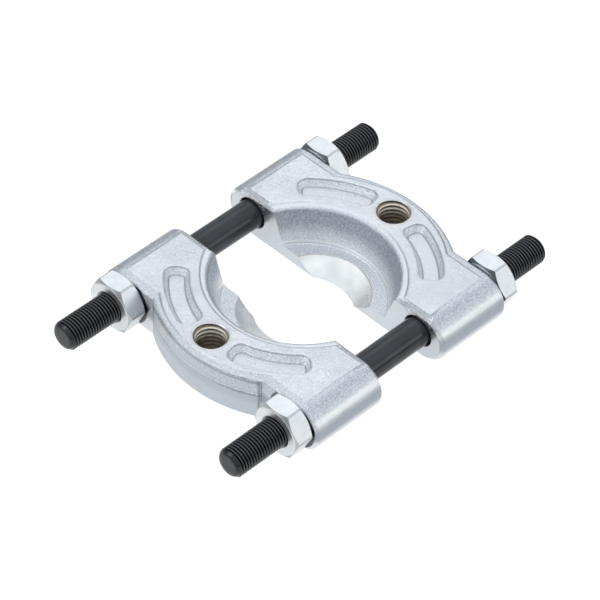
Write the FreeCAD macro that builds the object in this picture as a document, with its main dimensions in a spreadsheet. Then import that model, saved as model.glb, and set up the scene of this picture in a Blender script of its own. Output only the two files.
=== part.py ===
"""Bearing separator: two forged jaw halves, two studs and four nuts.

X runs along the studs, Y across them and Z up. The origin is on the plane that the halves rest on, under
the middle of the studs. Each half is drawn with its mating face on its own YZ plane, and the left one is
then turned to face the right one.
"""
import FreeCAD, Part
import math
import os

import Sketcher

# an edge's two ends and its centre, and the sketch's own origin and axes, by their numbers
START, END, CENTRE = 1, 2, 3
ORIGIN, X_AXIS, Y_AXIS = -1, -1, -2
# lengths closer than this are the same
NEAR = 0.01

SIZES = [
    # the studs
    ("stud_spacing", 103.1, "between the axes of the two studs"),
    ("axis_height", 12.5, "stud axis above the resting face"),
    ("stud_length", 188, "over the ends"),
    ("stud_diameter", 14, "plain middle of the stud"),
    ("thread_diameter", 13.95, "over the crests of the stud's thread"),
    ("thread_length", 57, "threaded length at each end"),
    ("thread_pitch", 1.5, "from one crest of the thread to the next"),
    ("thread_depth", 0.87, "crest to root"),
    ("thread_root_width", 0.3, "flat between two flanks"),
    ("thread_flank", 30, "degrees between a flank and a plane across the stud"),
    ("stud_chamfer", 1.5, "chamfer at the stud's ends"),
    # the nuts
    ("nut_flats", 24, "across flats"),
    ("nut_thickness", 10, "over both faces"),
    ("nut_face", 22.6, "diameter of the flat ring left by the chamfer"),
    ("nut_chamfer_angle", 30, "degrees between the chamfer and the face"),
    ("nut_clearance", 0.05, "radial gap between nut and thread crests"),
    ("nut_entry", 0.9, "countersink at both ends of the nut's bore"),
    ("nut_gap", 0.05, "oil film between nut and seat"),
    ("nut_tilt", 3, "degrees by which the flats are off level"),
    # where the halves stand
    ("jaw_gap", 36.1, "between the two mating faces"),
    ("jaw_shift", 0.75, "middle of the gap from the middle of the studs"),
    # the forging's block
    ("half_height", 23, "forged height, without the raised land"),
    ("boss_length", 39.6, "mating face to nut seat"),
    ("boss_side", 15.1, "stud axis to the boss's outer side"),
    ("side_foot", 4.8, "foot of the boss's round outer side, outboard of where it leaves the top"),
    ("arch_rise", 10.2, "arch's crown beyond the nut seats"),
    ("arch_overrun", 1.4, "how far the milled nut seat cuts into the foot of the arch"),
    ("bore_clearance", 0.75, "radial gap between stud and bore"),
    ("bore_chamfer", 0.4, "broken edge of the bore at the mating face"),
    ("seat_side", 18, "stud axis to the wall that the milled nut seat leaves in the arch"),
    ("seat_fillet", 0.8, "fillet between that wall and the seat"),
    ("mating_edge", 2.1, "round between the mating face and the forged skin"),
    ("outer_edge", 1.8, "round of the outer wall's edges, above and below"),
    # the raised land on top
    ("land_height", 0.7, "how far the land stands proud"),
    ("land_slope", 55, "degrees by which its sides lean"),
    ("land_edge", 1.2, "round of its top edge"),
    ("land_mating_inset", 3.4, "land's top edge from the mating face"),
    ("land_seat_inset", 4.9, "land's top edge from the nut seat"),
    ("land_side", 3.5, "land's top edge outboard of the stud axis"),
    ("land_arch_inset", 3.1, "land's top edge from the crown of the arch"),
    ("land_arch_radius", 56, "land's top edge along the arch"),
    ("land_rim_inset", 3.1, "land's top edge from the throat's rim at the crown"),
    ("land_rim_growth", 5.5, "radius of the land's top edge over the rim's"),
    # the throat
    ("arch_wall", 31, "crown of the arch to the foot of the throat's wall"),
    ("throat_radius", 36, "foot of the throat's wall"),
    ("throat_draft", 18, "degrees by which the wall leans back"),
    ("rim_edge", 2.6, "round of the throat's rim"),
    ("foot_fillet", 1, "fillet at the foot of the throat's wall"),
    ("ledge_height", 6.1, "ledge above the resting face"),
    ("ledge_width", 4.4, "ledge at the crown"),
    ("ledge_half_width", 22.3, "half the ledge's opening at the mating face"),
    ("knife_depth", 3.7, "mating face to the knife edge at the crown"),
    ("knife_half_width", 12.8, "half the knife edge's opening at the mating face"),
    # the kidney recesses
    ("kidney_shift", 1.5, "their common centre from the throat's axis"),
    ("kidney_inset", 8.4, "outer edge of the floor from the crown of the arch"),
    ("kidney_width", 7, "across the floor"),
    ("kidney_depth", 4.2, "below the land"),
    ("kidney_draft", 30, "degrees by which the walls lean"),
    ("kidney_start", 14.3, "degrees from the middle to the floor's end by the puller hole"),
    ("kidney_stop", 48.1, "degrees from the middle to the floor's end by the stud"),
    ("kidney_corner", 2.3, "corner radius of the floor"),
    ("kidney_lip", 0.9, "round of the top edge"),
    ("kidney_floor", 1.4, "fillet round the floor"),
    # the puller hole
    ("puller_inset", 12.3, "its centre from the crown of the arch"),
    ("puller_bore", 15.9, "diameter at the thread's roots"),
    # the workshop
    ("overcut", 1, "how far a cut runs on past the metal"),
    ("thread_overcut", 0.1, "how far the thread's cut runs on past the crests"),
]

PLACES = [
    ("stud_offset", "sizes.stud_spacing / 2"),
    ("stud_end", "sizes.stud_length / 2"),
    ("thread_inner", "stud_end - sizes.thread_length"),
    ("chamfer_inner", "stud_end - sizes.stud_chamfer"),
    ("stud_radius", "sizes.stud_diameter / 2"),
    ("thread_radius", "sizes.thread_diameter / 2"),
    ("stud_end_radius", "thread_radius - sizes.stud_chamfer"),
    ("thread_root", "thread_radius - sizes.thread_depth"),
    ("thread_clear", "thread_radius + sizes.thread_overcut"),
    ("flank_run", "(thread_clear - thread_root) * tan(sizes.thread_flank * 1 deg)"),
    ("root_start", "thread_inner + (sizes.thread_pitch - sizes.thread_root_width) / 2"),
    ("root_stop", "root_start + sizes.thread_root_width"),
    ("flank_start", "root_start - flank_run"),
    ("flank_stop", "root_stop + flank_run"),
    ("thread_turns", "floor(sizes.thread_length / sizes.thread_pitch)"),
    ("thread_run", "(thread_turns - 1) * sizes.thread_pitch"),
    ("nut_corner", "sizes.nut_flats / 2 / cos(30 deg)"),
    ("nut_face_radius", "sizes.nut_face / 2"),
    ("nut_chamfer_radius", "nut_corner + sizes.overcut"),
    ("nut_chamfer_width", "nut_chamfer_radius - nut_face_radius"),
    ("nut_chamfer_drop", "nut_chamfer_width * tan(sizes.nut_chamfer_angle * 1 deg)"),
    ("nut_chamfer_far", "sizes.nut_thickness - nut_chamfer_drop"),
    ("nut_bore", "thread_radius + sizes.nut_clearance"),
    ("right_face", "sizes.jaw_shift + sizes.jaw_gap / 2"),
    ("left_face", "sizes.jaw_shift - sizes.jaw_gap / 2"),
    ("right_nut_start", "right_face + sizes.boss_length + sizes.nut_gap"),
    ("left_nut_start", "left_face - sizes.boss_length - sizes.nut_gap - sizes.nut_thickness"),
    ("side_radius", "(sizes.half_height ^ 2 + sizes.side_foot ^ 2) / (2 * sizes.half_height)"),
    ("round_offset", "stud_offset + sizes.boss_side - side_radius"),
    ("round_foot", "round_offset + sizes.side_foot"),
    ("round_inner", "round_offset - side_radius / 2"),
    ("seat_wall", "stud_offset - sizes.seat_side"),
    ("arch_crown", "sizes.boss_length + sizes.arch_rise"),
    ("arch_foot", "seat_wall + sizes.arch_overrun"),
    ("arch_radius", "(arch_foot ^ 2 + sizes.arch_rise ^ 2) / (2 * sizes.arch_rise)"),
    ("bore_radius", "stud_radius + sizes.bore_clearance"),
    ("seat_foot", "seat_wall + sizes.seat_fillet"),
    ("seat_floor", "sizes.boss_length + sizes.seat_fillet"),
    ("seat_outer", "round_offset + side_radius + sizes.overcut"),
    ("land_top", "sizes.half_height + sizes.land_height"),
    ("land_root", "sizes.half_height - sizes.land_height"),
    ("land_reach", "land_top - land_root"),
    ("land_spill", "-land_reach * tan(sizes.land_slope * 1 deg) - sizes.overcut"),
    ("land_end", "sizes.boss_length - sizes.land_seat_inset"),
    ("land_outer", "stud_offset + sizes.land_side"),
    ("land_crown", "arch_crown - sizes.land_arch_inset"),
    ("land_rise", "land_crown - land_end"),
    ("land_corner", "sqrt(2 * sizes.land_arch_radius * land_rise - land_rise ^ 2)"),
    ("throat_depth", "arch_crown - sizes.arch_wall"),
    ("throat_axis", "throat_depth - sizes.throat_radius"),
    ("throat_lean", "tan(sizes.throat_draft * 1 deg)"),
    ("rim_radius", "sizes.throat_radius + (sizes.half_height - sizes.ledge_height) * throat_lean"),
    ("cut_height", "land_top + sizes.overcut"),
    ("corner_run", "tan((90 - sizes.throat_draft) / 2 * 1 deg)"),
    ("foot_inner", "sizes.throat_radius - sizes.foot_fillet * corner_run"),
    ("foot_outer", "sizes.throat_radius + sizes.foot_fillet * corner_run * sin(sizes.throat_draft * 1 deg)"),
    ("foot_top", "sizes.ledge_height + sizes.foot_fillet * corner_run * cos(sizes.throat_draft * 1 deg)"),
    ("rim_inner", "rim_radius - sizes.rim_edge * corner_run * sin(sizes.throat_draft * 1 deg)"),
    ("rim_bottom", "sizes.half_height - sizes.rim_edge * corner_run * cos(sizes.throat_draft * 1 deg)"),
    ("rim_outer", "rim_radius + sizes.rim_edge * corner_run"),
    ("land_rim_radius", "rim_radius + sizes.land_rim_growth"),
    ("land_rim_crown", "throat_axis + rim_radius + sizes.land_rim_inset"),
    ("land_rim_axis", "land_rim_crown - land_rim_radius"),
    ("land_rim_side", "sqrt(land_rim_radius ^ 2 - (sizes.land_mating_inset - land_rim_axis) ^ 2)"),
    ("ledge_crown", "throat_depth - sizes.ledge_width"),
    ("ledge_radius", "(ledge_crown ^ 2 + sizes.ledge_half_width ^ 2) / (2 * ledge_crown)"),
    ("ledge_axis", "ledge_crown - ledge_radius"),
    ("knife_radius", "(sizes.knife_depth ^ 2 + sizes.knife_half_width ^ 2) / (2 * sizes.knife_depth)"),
    ("knife_axis", "sizes.knife_depth - knife_radius"),
    ("kidney_axis", "throat_axis + sizes.kidney_shift"),
    ("kidney_outer", "arch_crown - kidney_axis - sizes.kidney_inset"),
    ("kidney_inner", "kidney_outer - sizes.kidney_width"),
    ("kidney_bottom", "land_top - sizes.kidney_depth"),
    ("kidney_run", "sizes.kidney_depth * tan(sizes.kidney_draft * 1 deg)"),
    ("puller_offset", "arch_crown - sizes.puller_inset"),
    ("puller_radius", "sizes.puller_bore / 2"),
]


def fill_sheet(doc, name, rows):
    """A sheet with one named cell in column B for each row, and its meaning beside it."""
    sheet = doc.addObject("Spreadsheet::Sheet", name)
    for number, row in enumerate(rows, start=1):
        place = "B%d" % number
        sheet.set("A%d" % number, row[0])
        sheet.set(place, str(row[1]) if isinstance(row[1], (int, float)) else "=" + row[1])
        sheet.setAlias(place, row[0])
        if len(row) > 2:
            sheet.set("C%d" % number, row[2])
    doc.recompute()
    return sheet


def cell(name):
    """The expression of a named cell."""
    if name in size_names:
        return "sizes." + name
    return "places." + name


def value(name):
    """The number that a named cell holds now."""
    sheet = sizes if name in size_names else places
    number = sheet.get(name)
    return float(getattr(number, "Value", number))


def new_body(label):
    """An empty body of its own name."""
    body = doc.addObject("PartDesign::Body", label)
    body.Label = label
    return body


def new_sketch(body, name, plane, **offsets):
    """A sketch on one of its body's own planes, moved along its axes to named places."""
    sketch = body.newObject("Sketcher::SketchObject", name)
    role = next(item for item in body.Origin.OriginFeatures if item.Role == plane)
    sketch.AttachmentSupport = [(role, "")]
    sketch.MapMode = "FlatFace"
    for axis, name_of_place in offsets.items():
        sketch.setExpression("AttachmentOffset.Base." + axis, cell(name_of_place))
    return sketch


def bind(sketch, constraint, expression):
    """Adds a dimension to a sketch and ties it to the sheet."""
    index = sketch.addConstraint(constraint)
    sketch.setExpression("Constraints[%d]" % index, expression)


def pin(sketch, edge, end, x_name, y_name):
    """Holds one end of an edge at a named place; None means on the axis."""
    if x_name is None:
        sketch.addConstraint(Sketcher.Constraint("PointOnObject", edge, end, Y_AXIS))
    else:
        bind(sketch, Sketcher.Constraint("DistanceX", ORIGIN, 1, edge, end, value(x_name)), cell(x_name))
    if y_name is None:
        sketch.addConstraint(Sketcher.Constraint("PointOnObject", edge, end, X_AXIS))
    else:
        bind(sketch, Sketcher.Constraint("DistanceY", ORIGIN, 1, edge, end, value(y_name)), cell(y_name))


def point(x_name, y_name):
    """The sketch point at two named places."""
    return FreeCAD.Vector(value(x_name) if x_name else 0, value(y_name) if y_name else 0, 0)


def bulged_arc(start, finish, radius):
    """The shorter arc from start to finish that bulges to the right of the way."""
    chord = finish - start
    across = FreeCAD.Vector(chord.y, -chord.x, 0).normalize()
    rise = radius - math.sqrt(radius ** 2 - (chord.Length / 2) ** 2)
    middle = (start + finish) * 0.5 + across * rise
    return Part.Arc(start, middle, finish)


def arc_ends(corner):
    """The sketch's names for the two ends of the edge that follows a corner: its arcs run anticlockwise."""
    return (END, START) if len(corner) > 3 and corner[3] < 0 else (START, END)


def draw_outline(sketch, corners):
    """Closes an outline through named corners; a third and fourth item bend the edge after the corner."""
    for number, corner in enumerate(corners):
        start = point(*corner[:2])
        finish = point(*corners[(number + 1) % len(corners)][:2])
        if len(corner) == 2:
            sketch.addGeometry(Part.LineSegment(start, finish))
        elif corner[3] > 0:
            sketch.addGeometry(bulged_arc(start, finish, value(corner[2])))
        else:
            sketch.addGeometry(bulged_arc(finish, start, value(corner[2])))
    for number, corner in enumerate(corners):
        following = (number + 1) % len(corners)
        first, last = arc_ends(corner)
        next_first = arc_ends(corners[following])[0]
        sketch.addConstraint(Sketcher.Constraint("Coincident", number, last, following, next_first))
        pin(sketch, number, first, corner[0], corner[1])
        if len(corner) > 2:
            bind(sketch, Sketcher.Constraint("Radius", number, value(corner[2])), cell(corner[2]))


def draw_circle(sketch, radius_name, x_name=None, y_name=None):
    """A circle at the sketch's origin or at a named place."""
    centre = point(x_name, y_name)
    sketch.addGeometry(Part.Circle(centre, FreeCAD.Vector(0, 0, 1), value(radius_name)))
    bind(sketch, Sketcher.Constraint("Radius", 0, value(radius_name)), cell(radius_name))
    pin(sketch, 0, CENTRE, x_name, y_name)


def add_feature(body, kind, name, **links):
    """A feature with its links set, still to be recomputed."""
    feature = body.newObject("PartDesign::" + kind, name)
    for key, item in links.items():
        setattr(feature, key, item)
    return feature


def pad(body, sketch, name, length_name, downward=False, draft_name=None):
    """Thickens a sketch along its normal or, if downward, against it."""
    feature = add_feature(body, "Pad", name, Profile=sketch, Reversed=downward)
    feature.setExpression("Length", cell(length_name))
    if draft_name:
        feature.setExpression("TaperAngle", cell(draft_name))
    doc.recompute()


def pocket(body, sketch, name, length_name, outward=False, draft_name=None):
    """Cuts a sketch into the body, against its normal or, if outward, along it."""
    before = body.Tip.Shape.Volume
    feature = add_feature(body, "Pocket", name, Profile=sketch, Reversed=outward)
    feature.setExpression("Length", cell(length_name))
    if draft_name:
        feature.setExpression("TaperAngle", cell(draft_name))
    doc.recompute()
    check_cut(name, before, feature)


def check_cut(name, before, feature):
    """A cut that points away from the solid would take nothing off."""
    if feature.Shape.Volume > before - NEAR:
        raise RuntimeError(name + " cuts nothing")


def dress(body, kind, name, property_name, size_name, test):
    """Rounds or chamfers the edges of the newest feature that pass the test all along."""
    base = body.Tip
    names = []
    for number, edge in enumerate(base.Shape.Edges, start=1):
        if all(test(where) for where in edge.discretize(9)[1:-1]):
            names.append("Edge%d" % number)
    if not names:
        raise RuntimeError(name + " finds no edge")
    feature = add_feature(body, kind, name, Base=(base, names))
    feature.setExpression(property_name, cell(size_name))
    doc.recompute()
    if feature.Shape.isNull() or not feature.Shape.isValid():
        raise RuntimeError(name + " can't be made")


def soften(body, name, radius_name, test):
    """Rounds edges."""
    dress(body, "Fillet", name, "Radius", radius_name, test)


def bevel(body, name, width_name, test):
    """Chamfers edges."""
    dress(body, "Chamfer", name, "Size", width_name, test)


def near(one, other):
    """Whether two lengths are the same, for choosing edges."""
    return abs(one - other) < NEAR


def forge_block(body):
    """The arch and the boss as one block, from the middle plane outwards."""
    outline = new_sketch(body, "block_outline", "XY_Plane")
    draw_outline(outline, [
        (None, None),
        ("arch_crown", None, "arch_radius", 1),
        ("boss_length", "arch_foot"),
        ("boss_length", "round_offset"),
        (None, "round_offset"),
    ])
    pad(body, outline, "block", "half_height")
    section = new_sketch(body, "boss_section", "YZ_Plane")
    draw_outline(section, [
        ("round_inner", None),
        ("round_foot", None, "side_radius", 1),
        ("round_offset", "half_height"),
        ("round_inner", "half_height"),
    ])
    pad(body, section, "boss_round", "boss_length")


def soften_block(body):
    """Rounds the forged skin: more at the mating face, less round the outer wall."""
    top = value("half_height")
    end = value("boss_length")
    arch_radius = value("arch_radius")
    arch_axis = value("arch_crown") - arch_radius

    def on_mating_face(where):
        return near(where.x, 0) and (near(where.z, top) or where.y > value("round_offset") - NEAR)

    def on_outer_wall(where):
        radius = math.hypot(where.x - arch_axis, where.y)
        on_arch = near(radius, arch_radius) and where.x > end - NEAR
        on_end = near(where.x, end) and where.y > value("arch_foot") - NEAR
        on_level = near(where.z, 0) or near(where.z, top) or where.y > value("round_offset") - NEAR
        return (on_arch or on_end) and on_level

    soften(body, "mating_round", "mating_edge", on_mating_face)
    soften(body, "outer_round", "outer_edge", on_outer_wall)


def raise_land(body):
    """The flat land that stands proud of the top on leaning sides, set in from every edge."""
    outline = new_sketch(body, "land_outline", "XY_Plane", z="land_top")
    draw_outline(outline, [
        ("land_rim_crown", None),
        ("land_crown", None, "land_arch_radius", 1),
        ("land_end", "land_corner"),
        ("land_end", "land_outer"),
        ("land_mating_inset", "land_outer"),
        ("land_mating_inset", "land_rim_side", "land_rim_radius", -1),
    ])
    pad(body, outline, "land", "land_reach", downward=True, draft_name="land_slope")
    spill = new_sketch(body, "spill_outline", "XY_Plane")
    draw_outline(spill, [
        (None, "land_spill"),
        ("arch_crown", "land_spill"),
        ("arch_crown", None),
        (None, None),
    ])
    pocket(body, spill, "spill", "cut_height", outward=True)

    def on_top_edge(where):
        return near(where.z, value("land_top")) and where.y > NEAR

    soften(body, "land_round", "land_edge", on_top_edge)


def cut_throat(body):
    """The conical wall, the ledge at its foot, and the machined cone down to the knife edge."""
    section = new_sketch(body, "throat_section", "XZ_Plane", x="throat_axis")
    draw_outline(section, [
        (None, "ledge_height"),
        ("foot_inner", "ledge_height", "foot_fillet", 1),
        ("foot_outer", "foot_top"),
        ("rim_inner", "rim_bottom", "rim_edge", -1),
        ("rim_outer", "half_height"),
        ("rim_outer", "cut_height"),
        (None, "cut_height"),
    ])
    before = body.Tip.Shape.Volume
    turned_about = (section, ["V_Axis"])
    throat = add_feature(body, "Groove", "throat", Profile=section, ReferenceAxis=turned_about, Angle=360)
    doc.recompute()
    check_cut("throat", before, throat)
    ledge = new_sketch(body, "ledge_circle", "XY_Plane", x="ledge_axis", z="ledge_height")
    draw_circle(ledge, "ledge_radius")
    knife = new_sketch(body, "knife_circle", "XY_Plane", x="knife_axis")
    draw_circle(knife, "knife_radius")
    before = body.Tip.Shape.Volume
    cone = add_feature(body, "SubtractiveLoft", "knife_cone", Profile=ledge, Sections=[knife], Ruled=True)
    doc.recompute()
    check_cut("knife_cone", before, cone)


def polar(radius, degrees):
    """The sketch point at a distance and an angle from its origin."""
    turn = math.radians(degrees)
    return FreeCAD.Vector(radius * math.cos(turn), radius * math.sin(turn), 0)


def draw_kidney(sketch):
    """A slot bent round the sketch's origin, with straight ends and round corners."""
    inner = value("kidney_inner")
    outer = value("kidney_outer")
    corner = value("kidney_corner")
    begin = value("kidney_start")
    stop = value("kidney_stop")
    inner_turn = math.degrees(math.asin(corner / (inner + corner)))
    outer_turn = math.degrees(math.asin(corner / (outer - corner)))
    inner_run = math.sqrt((inner + corner) ** 2 - corner ** 2)
    outer_run = math.sqrt((outer - corner) ** 2 - corner ** 2)
    middle = (begin + stop) / 2

    def corner_arc(start, centre, finish):
        towards = (start + finish) * 0.5 - centre
        return Part.Arc(start, centre + towards.normalize() * corner, finish)

    outer_begin = polar(outer, begin + outer_turn)
    outer_stop = polar(outer, stop - outer_turn)
    inner_begin = polar(inner, begin + inner_turn)
    inner_stop = polar(inner, stop - inner_turn)
    sketch.addGeometry([
        Part.LineSegment(polar(inner_run, begin), polar(outer_run, begin)),
        corner_arc(polar(outer_run, begin), polar(outer - corner, begin + outer_turn), outer_begin),
        Part.Arc(outer_begin, polar(outer, middle), outer_stop),
        corner_arc(outer_stop, polar(outer - corner, stop - outer_turn), polar(outer_run, stop)),
        Part.LineSegment(polar(inner_run, stop), polar(outer_run, stop)),
        corner_arc(polar(inner_run, stop), polar(inner + corner, stop - inner_turn), inner_stop),
        Part.Arc(inner_begin, polar(inner, middle), inner_stop),
        corner_arc(inner_begin, polar(inner + corner, begin + inner_turn), polar(inner_run, begin)),
    ])
    joints = [
        (0, END, 1, START),
        (1, END, 2, START),
        (2, END, 3, START),
        (3, END, 4, END),
        (4, START, 5, START),
        (5, END, 6, END),
        (6, START, 7, START),
        (7, END, 0, START),
    ]
    for joint in joints:
        sketch.addConstraint(Sketcher.Constraint("Tangent", *joint))
    for edge, name in ((2, "kidney_outer"), (6, "kidney_inner")):
        sketch.addConstraint(Sketcher.Constraint("Coincident", edge, CENTRE, ORIGIN, START))
        bind(sketch, Sketcher.Constraint("Radius", edge, value(name)), cell(name))
    for edge, name in ((0, "kidney_start"), (4, "kidney_stop")):
        sketch.addConstraint(Sketcher.Constraint("PointOnObject", ORIGIN, START, edge))
        bind(sketch, Sketcher.Constraint("Angle", edge, math.radians(value(name))), cell(name) + " * 1 deg")
    for edge in (1, 3, 5, 7):
        bind(sketch, Sketcher.Constraint("Radius", edge, corner), cell("kidney_corner"))


def sink_kidney(body):
    """The kidney recess, widening upwards from its floor, with a round lip and a fillet round its floor."""
    outline = new_sketch(body, "kidney_outline", "XY_Plane", x="kidney_axis", z="kidney_bottom")
    draw_kidney(outline)
    pocket(body, outline, "kidney", "kidney_depth", outward=True, draft_name="kidney_draft")
    run = value("kidney_run") + NEAR

    def inside(where):
        radius = math.hypot(where.x - value("kidney_axis"), where.y)
        return value("kidney_inner") - run < radius < value("kidney_outer") + run

    def on_lip(where):
        return inside(where) and near(where.z, value("land_top"))

    def on_floor(where):
        return inside(where) and near(where.z, value("kidney_bottom"))

    soften(body, "kidney_lip_round", "kidney_lip", on_lip)
    soften(body, "kidney_floor_round", "kidney_floor", on_floor)


def bore_boss(body):
    """The milled nut seat and the clearance bore for the stud."""
    seat = new_sketch(body, "seat_outline", "XY_Plane")
    draw_outline(seat, [
        ("boss_length", "seat_foot", "seat_fillet", 1),
        ("seat_floor", "seat_wall"),
        ("arch_crown", "seat_wall"),
        ("arch_crown", "seat_outer"),
        ("boss_length", "seat_outer"),
    ])
    pocket(body, seat, "seat", "cut_height", outward=True)
    bore = new_sketch(body, "bore_circle", "YZ_Plane")
    draw_circle(bore, "bore_radius", "stud_offset", "axis_height")
    pocket(body, bore, "bore", "arch_crown", outward=True)

    def on_mouth(where):
        radius = math.hypot(where.y - value("stud_offset"), where.z - value("axis_height"))
        return near(where.x, 0) and near(radius, value("bore_radius"))

    bevel(body, "bore_bevel", "bore_chamfer", on_mouth)


def mirror(body, name, plane_role):
    """Doubles a body about one of its own planes."""
    single = body.Tip
    plane = next(item for item in body.Origin.OriginFeatures if item.Role == plane_role)
    mirrored = body.newObject("PartDesign::Mirrored", name)
    mirrored.TransformMode = "Whole shape"
    mirrored.MirrorPlane = (plane, [""])
    body.Tip = mirrored
    doc.recompute()
    if not near(mirrored.Shape.Volume / single.Shape.Volume, 2):
        raise RuntimeError(name + " doesn't double the body")


def drill_puller_hole(body):
    """The hole for the puller's leg, as wide as its thread at the roots."""
    circle = new_sketch(body, "puller_circle", "XY_Plane")
    draw_circle(circle, "puller_radius", "puller_offset")
    pocket(body, circle, "puller_hole", "cut_height", outward=True)


def build_half(label):
    """One jaw half, with its mating face at its own origin."""
    body = new_body(label)
    forge_block(body)
    soften_block(body)
    raise_land(body)
    cut_throat(body)
    sink_kidney(body)
    bore_boss(body)
    mirror(body, "both_sides", "XZ_Plane")
    drill_puller_hole(body)
    return body


def build_stud(label):
    """A stud with a plain middle and a thread at each end: one end from the middle outwards, then both.

    The thread is cut as rings at its true pitch, depth and flanks, which leaves out only its lead.
    """
    body = new_body(label)
    bar = new_sketch(body, "bar_section", "XZ_Plane")
    draw_outline(bar, [
        (None, None),
        ("stud_end", None),
        ("stud_end", "stud_end_radius"),
        ("chamfer_inner", "thread_radius"),
        ("thread_inner", "thread_radius"),
        ("thread_inner", "stud_radius"),
        (None, "stud_radius"),
    ])
    add_feature(body, "Revolution", "bar", Profile=bar, ReferenceAxis=(bar, ["H_Axis"]), Angle=360)
    doc.recompute()
    ring = new_sketch(body, "ring_section", "XZ_Plane")
    draw_outline(ring, [
        ("root_start", "thread_root"),
        ("root_stop", "thread_root"),
        ("flank_stop", "thread_clear"),
        ("flank_start", "thread_clear"),
    ])
    before = body.Tip.Shape.Volume
    turned_about = (ring, ["H_Axis"])
    groove = add_feature(body, "Groove", "ring", Profile=ring, ReferenceAxis=turned_about, Angle=360)
    doc.recompute()
    check_cut("ring", before, groove)
    thread = add_feature(body, "LinearPattern", "thread", Originals=[groove], Direction=turned_about)
    thread.setExpression("Length", cell("thread_run"))
    thread.setExpression("Occurrences", cell("thread_turns"))
    body.Tip = thread
    doc.recompute()
    mirror(body, "both_ends", "YZ_Plane")
    return body


def build_nut(label):
    """A hexagon nut, chamfered on both faces, standing on its own XY plane."""
    body = new_body(label)
    prism = add_feature(body, "AdditivePrism", "hexagon", Polygon=6)
    prism.setExpression("Circumradius", cell("nut_corner"))
    prism.setExpression("Height", cell("nut_thickness"))
    doc.recompute()
    for name, inner_height, edge_height in (
        ("lower_chamfer", None, "nut_chamfer_drop"),
        ("upper_chamfer", "nut_thickness", "nut_chamfer_far"),
    ):
        section = new_sketch(body, name + "_section", "XZ_Plane")
        draw_outline(section, [
            ("nut_face_radius", inner_height),
            ("nut_chamfer_radius", inner_height),
            ("nut_chamfer_radius", edge_height),
        ])
        before = body.Tip.Shape.Volume
        turned_about = (section, ["V_Axis"])
        groove = add_feature(body, "Groove", name, Profile=section, ReferenceAxis=turned_about, Angle=360)
        doc.recompute()
        check_cut(name, before, groove)
    circle = new_sketch(body, "bore_circle", "XY_Plane")
    draw_circle(circle, "nut_bore")
    pocket(body, circle, "bore", "nut_thickness", outward=True)

    def on_mouth(where):
        return near(math.hypot(where.x, where.y), value("nut_bore"))

    bevel(body, "entries", "nut_entry", on_mouth)
    return body


doc = FreeCAD.newDocument("bearing_separator")
size_names = {row[0] for row in SIZES}
sizes = fill_sheet(doc, "sizes", SIZES)
places = fill_sheet(doc, "places", PLACES)
for side, turn in (("right", 0), ("left", 180)):
    half = build_half(side + "_half")
    half.Placement.Rotation = FreeCAD.Rotation(FreeCAD.Vector(0, 0, 1), turn)
    half.setExpression("Placement.Base.x", cell(side + "_face"))

tilt = FreeCAD.Rotation(FreeCAD.Vector(1, 0, 0), -value("nut_tilt"))
lay_along_x = FreeCAD.Rotation(FreeCAD.Vector(1, 1, 1), 120)
for row, sign in (("front", "-"), ("back", "")):
    stud = build_stud(row + "_stud")
    stud.setExpression("Placement.Base.y", sign + cell("stud_offset"))
    stud.setExpression("Placement.Base.z", cell("axis_height"))
    for side in ("right", "left"):
        nut = build_nut(row + "_" + side + "_nut")
        nut.Placement.Rotation = tilt.multiply(lay_along_x)
        nut.setExpression("Placement.Base.x", cell(side + "_nut_start"))
        nut.setExpression("Placement.Base.y", sign + cell("stud_offset"))
        nut.setExpression("Placement.Base.z", cell("axis_height"))
doc.recompute()

for item in doc.Objects:
    if "Invalid" in item.State or "Error" in item.State:
        raise RuntimeError(item.Name + " is not up to date")
bodies = [item for item in doc.Objects if item.TypeId == "PartDesign::Body"]
for body in bodies:
    if body.Shape.isNull() or not body.Shape.isValid() or len(body.Shape.Solids) != 1:
        raise RuntimeError(body.Label + " is not one sound solid")

os.makedirs("parts", exist_ok=True)
for body in bodies:
    body.Shape.exportStep("parts/" + body.Label + ".step")
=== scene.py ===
"""Looks of the bearing separator: plated forged halves, blackened studs and bright nuts.

Lengths are in millimetres and are turned into metres where they enter a mesh, a shader or the camera. The
studs lie along x, the halves face each other near x = 0, and z is the height above the table.
"""
import math

import bpy
import numpy as np
from mathutils import Matrix, Vector


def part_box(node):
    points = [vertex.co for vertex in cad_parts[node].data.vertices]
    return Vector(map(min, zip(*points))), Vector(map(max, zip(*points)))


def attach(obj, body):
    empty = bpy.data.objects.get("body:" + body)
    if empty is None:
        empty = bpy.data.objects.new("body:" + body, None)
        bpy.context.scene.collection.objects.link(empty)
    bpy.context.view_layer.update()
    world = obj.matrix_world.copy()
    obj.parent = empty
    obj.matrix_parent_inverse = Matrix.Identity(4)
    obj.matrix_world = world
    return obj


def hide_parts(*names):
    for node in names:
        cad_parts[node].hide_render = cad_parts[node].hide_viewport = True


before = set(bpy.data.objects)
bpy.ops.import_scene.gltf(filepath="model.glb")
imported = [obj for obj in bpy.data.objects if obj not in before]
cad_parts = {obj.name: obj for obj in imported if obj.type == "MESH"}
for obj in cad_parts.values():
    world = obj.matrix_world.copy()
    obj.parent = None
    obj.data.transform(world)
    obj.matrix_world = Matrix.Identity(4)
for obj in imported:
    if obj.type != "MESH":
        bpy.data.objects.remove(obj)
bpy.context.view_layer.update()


# The two halves: drop-forged steel jaws that meet round a stepped throat. The mating faces, nut seats and
# the cone down to the knife edge are machined, the rest keeps the die's skin, and the whole is plated to a
# satin blue-grey. They stay as the solids give them and get their skin here.

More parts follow.
